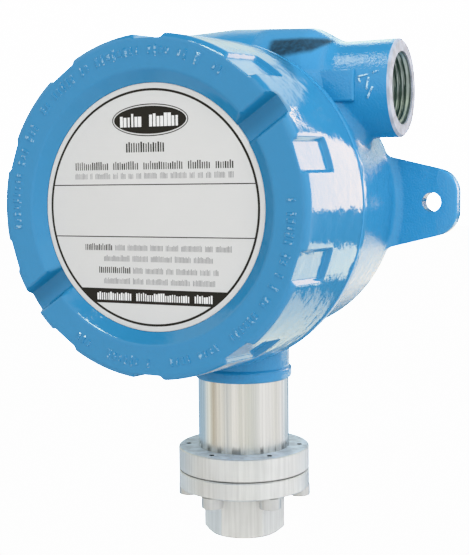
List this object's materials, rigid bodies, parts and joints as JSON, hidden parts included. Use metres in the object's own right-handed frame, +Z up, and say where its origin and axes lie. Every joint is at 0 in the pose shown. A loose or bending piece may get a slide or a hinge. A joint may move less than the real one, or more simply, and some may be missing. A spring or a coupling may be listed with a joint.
{
  "type": "pressure switch",
  "caption": "Explosion-proof pressure switch: round cast housing with a screw cover, conduit hub and mounting lugs, on a flanged steel stem with a hexagonal pressure port.",
  "frame": {"origin": "centre of the pressure port's mouth, at the bottom of the hexagon", "axes": "+Z up the stem towards the housing, -Y out of the cover's front, +X out of the conduit hub"},
  "size_m": [0.1564, 0.112, 0.1972],
  "materials": {
    "enamel": "glossy blue enamel on a cast surface",
    "plate": "satin plate with black printed fields",
    "stainless": "turned and lightly polished",
    "spring_steel": "oiled",
    "seal_rubber": "matt",
    "zinc_steel": "bright plated",
    "brass": "machined",
    "black_plastic": "moulded",
    "red_plastic": "moulded",
    "lead_insulation": "flexible sleeve"
  },
  "bodies": {
    "housing": {"housing": "enamel", "sensor_stem": "stainless", "stem_o_ring": "seal_rubber", "stem_lock_nut": "stainless", "pressure_port": "stainless", "flange_bolts": "stainless", "diaphragm": "stainless", "diaphragm_o_ring": "seal_rubber", "range_spring": "spring_steel", "switch_bracket": "zinc_steel", "bracket_screws": "zinc_steel", "snap_switch": "black_plastic", "switch_tabs": "brass", "switch_screws": "zinc_steel", "switch_leads": "lead_insulation", "terminal_block": "black_plastic", "terminal_plates": "brass", "terminal_screws": "zinc_steel", "terminal_block_screws": "zinc_steel", "earth_screw": "brass", "earth_washer": "zinc_steel"},
    "cover_ring": {"cover_o_ring": "seal_rubber"},
    "cover": {"cover": "enamel", "nameplate": "plate"},
    "piston": {"piston": "stainless", "push_rod": "stainless"},
    "plunger": {"switch_plunger": "red_plastic"},
    "spring_seat": {"spring_seat": "zinc_steel"},
    "adjusting_nut": {"adjusting_nut": "brass"}
  },
  "joints": [
    {"name": "cover_travel", "type": "slide", "parent": "housing", "child": "cover_ring", "axis": [0, -1, 0], "range_m": [0, 0.01694]},
    {"name": "cover_turn", "type": "hinge", "parent": "cover_ring", "child": "cover", "pos_m": [0, -0.03, 0.13], "axis": [0, -1, 0], "range_deg": [0, 2880]},
    {"name": "piston_stroke", "type": "slide", "parent": "housing", "child": "piston", "axis": [0, 0, 1], "range_m": [0, 0.0008], "stiffness_N_per_m": 9000, "springref_m": -0.01, "deforming": ["range_spring"]},
    {"name": "plunger_travel", "type": "slide", "parent": "housing", "child": "plunger", "axis": [0, 0, 1], "range_m": [0, 0.0008]},
    {"name": "nut_travel", "type": "slide", "parent": "housing", "child": "spring_seat", "axis": [0, 0, 1], "range_m": [-0.006, 0.006], "deforming": ["range_spring"]},
    {"name": "nut_turn", "type": "hinge", "parent": "spring_seat", "child": "adjusting_nut", "pos_m": [0, 0, 0.0706], "axis": [0, 0, 1], "range_deg": [-1440, 1440]}
  ],
  "couplings": [
    {"joint": "cover_travel", "follows": "cover_turn", "m_per_rad": 0.00033688},
    {"joint": "plunger_travel", "follows": "piston_stroke", "ratio": 1},
    {"joint": "nut_travel", "follows": "nut_turn", "m_per_rad": 0.00023873}
  ]
}
